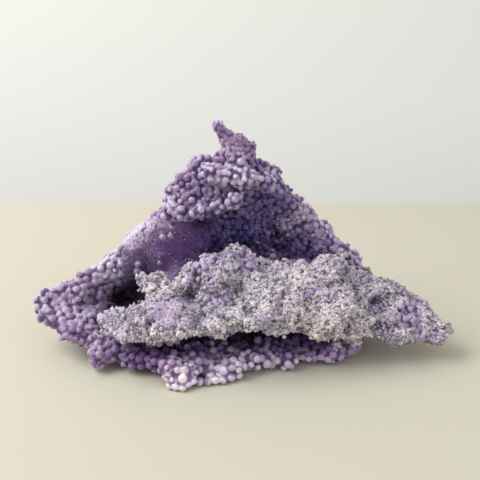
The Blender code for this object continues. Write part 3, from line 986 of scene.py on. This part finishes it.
def grape_material():
    """Translucent agate: a painted sheen ring on each head, painted purple shade in crevices.
    """
    n = Nodes("grape_agate")
    tint = n.attribute("tint", "Color")
    head = n.attribute("head", "Fac")
    druse = n.attribute("druse", "Fac")
    # Painted shade: the crevices between grapes and between grains are darkened.
    crevice_shade = n.mix(1, tint, n.mix(druse, GRAPE_CREVICE_SHADE, GRAIN_CREVICE_SHADE), "MULTIPLY")
    colour = n.mix(head, crevice_shade, tint)
    # Painted sheen: a lighter ring near the top of each grape.
    from_sheen_ring = n.math("ABSOLUTE", n.math("SUBTRACT", head, SHEEN_RING_AT), 0)
    sheen_and_mottle = n.mix(1, colour, SHEEN_AND_MOTTLE_LIFT, "MULTIPLY")
    colour = n.mix(n.range(from_sheen_ring, SHEEN_RING_FADE, (1, 0)), colour, sheen_and_mottle)
    blotches = n.range(n.noise(FROST_GRAIN, 3), (0.5, 0.75), (0, 0.5))
    colour = n.mix(blotches, colour, sheen_and_mottle)
    rock = n.mix(n.range(n.noise(ROCK_GRAIN, 6), (0.35, 0.65), (0, 1)), ROCK_DARK, ROCK_PALE)
    colour = n.mix(n.attribute("rock", "Fac"), colour, rock)
    n.link(colour, n.shader.inputs["Base Color"])
    roughness = n.range(n.noise(GLOSS_GRAIN), (0.3, 0.7), (0.28, 0.48))
    n.link(roughness, n.shader.inputs["Roughness"])
    relief = n.bump(n.noise(RELIEF_GRAIN, 3), RELIEF_HEIGHT, 0.5)
    n.link(relief, n.shader.inputs["Normal"])
    n.shader.inputs["Subsurface Weight"].default_value = 0.8
    n.shader.inputs["Subsurface Radius"].default_value = (0.8, 0.5, 1.0)
    n.shader.inputs["Subsurface Scale"].default_value = 1.7 * MM
    n.link(n.range(tint, DARK_TO_LIT, (0.05, 0.85)), n.shader.inputs["Sheen Weight"])
    n.link(n.range(tint, DARK_TO_LIT, (0.1, 0.5)), n.shader.inputs["Specular IOR Level"])
    n.shader.inputs["Sheen Roughness"].default_value = 0.4
    n.shader.inputs["Sheen Tint"].default_value = (1.0, 0.94, 1.0, 1)
    return n.material


def quartz_material():
    """The small crystals: glossy enough to glint, in their own whites, greys and violets."""
    n = Nodes("druse")
    tint = n.attribute("tint", "Color")
    greyed = n.range(n.noise(FROST_GRAIN), (0.3, 0.7), (0, 0.2))
    n.link(n.mix(greyed, tint, GRAIN_GREY), n.shader.inputs["Base Color"])
    n.shader.inputs["Roughness"].default_value = 0.16
    n.shader.inputs["Specular IOR Level"].default_value = 0.6
    n.shader.inputs["Subsurface Weight"].default_value = 0.3
    n.shader.inputs["Subsurface Radius"].default_value = (1.0, 0.9, 1.0)
    n.shader.inputs["Subsurface Scale"].default_value = 0.6 * MM
    return n.material


def plain_material(name, colour, roughness, gloss):
    n = Nodes(name)
    n.shader.inputs["Base Color"].default_value = (*colour, 1)
    n.shader.inputs["Roughness"].default_value = roughness
    n.shader.inputs["Specular IOR Level"].default_value = gloss
    return n.material


def make_plane(name, corners, material):
    mesh = bpy.data.meshes.new(name)
    mesh.from_pydata([to_frame(np.array(c, float)) for c in corners], [], [(0, 1, 2, 3)])
    mesh.materials.append(material)
    add_object(name, mesh)


def aim(obj, place, target):
    obj.location = to_frame(np.array(place, float))
    way = Vector(to_frame(np.array(target, float))) - obj.location
    obj.rotation_euler = way.to_track_quat("-Z", "Y").to_euler()


def area_light(name, place, size, power):
    light = bpy.data.lights.new(name, "AREA")
    light.size = size * MM
    light.energy = power
    aim(add_object(name, light), place, LIGHTS_AIM)


def make_studio():
    side = STUDIO_SIDE
    floor = plain_material("floor", FLOOR_COLOUR, 0.7, 0.15)
    wall = plain_material("backdrop", WALL_COLOUR, 0.9, 0.1)
    make_plane("floor", ((-side, -side, 0), (side, -side, 0), (side, FLOOR_END, 0),
                         (-side, FLOOR_END, 0)), floor)
    make_plane("backdrop", ((-side, WALL_AT, -side), (side, WALL_AT, -side),
                            (side, WALL_AT, side), (-side, WALL_AT, side)), wall)
    area_light("key", *KEY)
    area_light("fill", *FILL)
    world = bpy.data.worlds.new("studio")
    world.use_nodes = True
    background = world.node_tree.nodes["Background"]
    background.inputs["Color"].default_value = SKY_COLOUR
    background.inputs["Strength"].default_value = SKY_STRENGTH
    bpy.context.scene.world = world
    bpy.context.scene.view_settings.view_transform = "Standard"


def make_camera():
    camera = bpy.data.cameras.new("camera")
    camera.sensor_width = SENSOR_WIDTH
    camera.lens = CAMERA_LENS
    camera.clip_start = 0.005
    obj = add_object("camera", camera)
    target = (0, 0, CAMERA_TARGET_HEIGHT)
    back = -CAMERA_DISTANCE * math.cos(CAMERA_PITCH)
    up = CAMERA_TARGET_HEIGHT + CAMERA_DISTANCE * math.sin(CAMERA_PITCH)
    aim(obj, (0, back, up), target)
    bpy.context.scene.camera = obj


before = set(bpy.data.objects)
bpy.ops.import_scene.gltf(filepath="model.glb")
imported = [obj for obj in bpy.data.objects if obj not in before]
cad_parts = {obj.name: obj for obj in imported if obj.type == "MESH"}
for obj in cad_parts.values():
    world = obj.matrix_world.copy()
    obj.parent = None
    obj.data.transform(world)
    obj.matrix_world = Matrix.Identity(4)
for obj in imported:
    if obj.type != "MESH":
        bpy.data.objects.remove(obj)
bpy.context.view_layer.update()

make_camera()
make_studio()
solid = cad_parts["grape_agate"]
smooth_solid = remeshed(solid.data.copy(), SKIN_VOXEL, SKIN_SMOOTHING)
skin, pit_shade_places = sculpted(mesh_arrays(smooth_solid))
balls = make_balls(skin)
tints = grape_tints(balls, open_sky(balls, skin), pit_shade_places)
grapes = make_grapes(skin, balls, tints, grape_material())
surface = whole_surface(grapes)
quartz = quartz_material()
crystals = [
    make_crust_crystals("quartz_points", surface, pit_shade_places, CRYSTALS, quartz),
    make_crust_crystals("tiny_quartz_points", surface, pit_shade_places, SMALL_CRYSTALS, quartz),
    make_glints("glints", surface, GLINTS, quartz),
]
for piece in grapes:
    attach(piece, "root")
    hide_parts("grape_agate")
for piece in crystals:
    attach(piece, "root")
    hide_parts("grape_agate")
